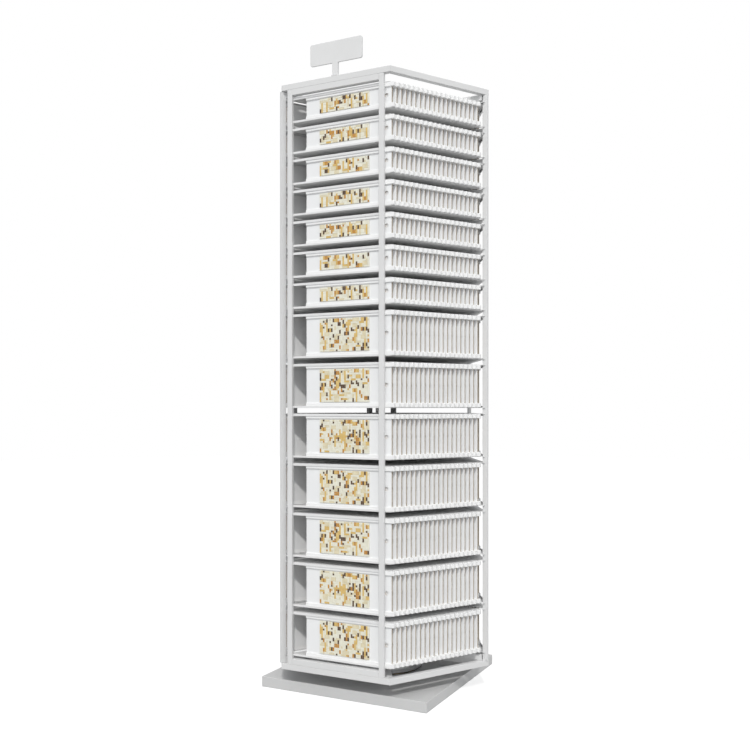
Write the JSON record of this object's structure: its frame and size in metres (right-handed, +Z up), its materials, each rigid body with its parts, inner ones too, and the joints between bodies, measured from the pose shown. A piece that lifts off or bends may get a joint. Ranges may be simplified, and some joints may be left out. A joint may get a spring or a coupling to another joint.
{
  "type": "rotating tile display rack",
  "caption": "Six-sided rotating display tower on a square plinth, with tiers of upright tile sample boards that slide out of three open faces and a blank sign on top.",
  "frame": {"origin": "centre of the plinth's underside, on the floor", "axes": "+Z up; -Y out of the panel face of bay 1, which is parallel to the front of the plinth; +X is the way the panels of bay 1 slide out"},
  "size_m": [0.786, 0.6862, 2.095],
  "materials": {
    "white_paint": "satin white powder coat",
    "white_sheet": "satin white powder coat on thin sheet",
    "zinc_steel": "zinc-plated steel",
    "bright_steel": "bright steel",
    "white_board": "white-faced particle board with white edge trims",
    "mosaic": "small glossy tiles in cream, gold, amber and brown"
  },
  "bodies": {
    "base": {"base_plinth": "white_paint", "base_floor_plate": "zinc_steel", "base_bolts": "bright_steel", "bearing_lower_plate": "zinc_steel", "bearing_pin": "bright_steel", "bearing_balls": "bright_steel", "bearing_cage": "zinc_steel"},
    "tower": {"bearing_upper_plate": "zinc_steel", "hub_drum": "zinc_steel", "hub_bolts": "bright_steel", "hub_beams": "white_paint", "bottom_ring": "white_paint", "top_ring": "white_paint", "outer_posts": "white_paint", "outer_rails": "white_paint", "inner_posts": "white_paint", "inner_rails": "white_paint", "trays_1": "white_sheet", "trays_2": "white_sheet", "trays_3": "white_sheet", "guides_1": "white_sheet", "guides_2": "white_sheet", "guides_3": "white_sheet", "boards_1": "white_board", "boards_2": "white_board", "boards_3": "white_board", "mosaics_1": "mosaic", "mosaics_2": "mosaic", "mosaics_3": "mosaic", "sign_plate": "white_paint", "sign_stem": "white_paint", "sign_screws": "bright_steel"},
    "panel_1_01": {"slide_1_01": "white_board"},
    "panel_1_02": {"slide_1_02": "white_board"},
    "panel_1_03": {"slide_1_03": "white_board"},
    "panel_1_04": {"slide_1_04": "white_board"},
    "panel_1_05": {"slide_1_05": "white_board"},
    "panel_1_06": {"slide_1_06": "white_board"},
    "panel_1_07": {"slide_1_07": "white_board"},
    "panel_1_08": {"slide_1_08": "white_board"},
    "panel_1_09": {"slide_1_09": "white_board"},
    "panel_1_10": {"slide_1_10": "white_board"},
    "panel_1_11": {"slide_1_11": "white_board"},
    "panel_1_12": {"slide_1_12": "white_board"},
    "panel_1_13": {"slide_1_13": "white_board"},
    "panel_1_14": {"slide_1_14": "white_board"},
    "panel_2_07": {"slide_2_07": "white_board"},
    "panel_2_08": {"slide_2_08": "white_board"},
    "panel_3_07": {"slide_3_07": "white_board"},
    "panel_3_08": {"slide_3_08": "white_board"}
  },
  "joints": [
    {"name": "tower_spin", "type": "hinge", "parent": "base", "child": "tower", "pos_m": [0, 0, 0], "axis": [0, 0, 1], "continuous": true},
    {"name": "panel_slide_1_01", "type": "slide", "parent": "tower", "child": "panel_1_01", "axis": [1, 0, 0], "range_m": [0, 0.26]},
    {"name": "panel_slide_1_02", "type": "slide", "parent": "tower", "child": "panel_1_02", "axis": [1, 0, 0], "range_m": [0, 0.26]},
    {"name": "panel_slide_1_03", "type": "slide", "parent": "tower", "child": "panel_1_03", "axis": [1, 0, 0], "range_m": [0, 0.26]},
    {"name": "panel_slide_1_04", "type": "slide", "parent": "tower", "child": "panel_1_04", "axis": [1, 0, 0], "range_m": [0, 0.26]},
    {"name": "panel_slide_1_05", "type": "slide", "parent": "tower", "child": "panel_1_05", "axis": [1, 0, 0], "range_m": [0, 0.26]},
    {"name": "panel_slide_1_06", "type": "slide", "parent": "tower", "child": "panel_1_06", "axis": [1, 0, 0], "range_m": [0, 0.26]},
    {"name": "panel_slide_1_07", "type": "slide", "parent": "tower", "child": "panel_1_07", "axis": [1, 0, 0], "range_m": [0, 0.26]},
    {"name": "panel_slide_1_08", "type": "slide", "parent": "tower", "child": "panel_1_08", "axis": [1, 0, 0], "range_m": [0, 0.26]},
    {"name": "panel_slide_1_09", "type": "slide", "parent": "tower", "child": "panel_1_09", "axis": [1, 0, 0], "range_m": [0, 0.26]},
    {"name": "panel_slide_1_10", "type": "slide", "parent": "tower", "child": "panel_1_10", "axis": [1, 0, 0], "range_m": [0, 0.26]},
    {"name": "panel_slide_1_11", "type": "slide", "parent": "tower", "child": "panel_1_11", "axis": [1, 0, 0], "range_m": [0, 0.26]},
    {"name": "panel_slide_1_12", "type": "slide", "parent": "tower", "child": "panel_1_12", "axis": [1, 0, 0], "range_m": [0, 0.26]},
    {"name": "panel_slide_1_13", "type": "slide", "parent": "tower", "child": "panel_1_13", "axis": [1, 0, 0], "range_m": [0, 0.26]},
    {"name": "panel_slide_1_14", "type": "slide", "parent": "tower", "child": "panel_1_14", "axis": [1, 0, 0], "range_m": [0, 0.26]},
    {"name": "panel_slide_2_07", "type": "slide", "parent": "tower", "child": "panel_2_07", "axis": [-0.5, -0.866, 0], "range_m": [0, 0.26]},
    {"name": "panel_slide_2_08", "type": "slide", "parent": "tower", "child": "panel_2_08", "axis": [-0.5, -0.866, 0], "range_m": [0, 0.26]},
    {"name": "panel_slide_3_07", "type": "slide", "parent": "tower", "child": "panel_3_07", "axis": [-0.5, 0.866, 0], "range_m": [0, 0.26]},
    {"name": "panel_slide_3_08", "type": "slide", "parent": "tower", "child": "panel_3_08", "axis": [-0.5, 0.866, 0], "range_m": [0, 0.26]}
  ]
}
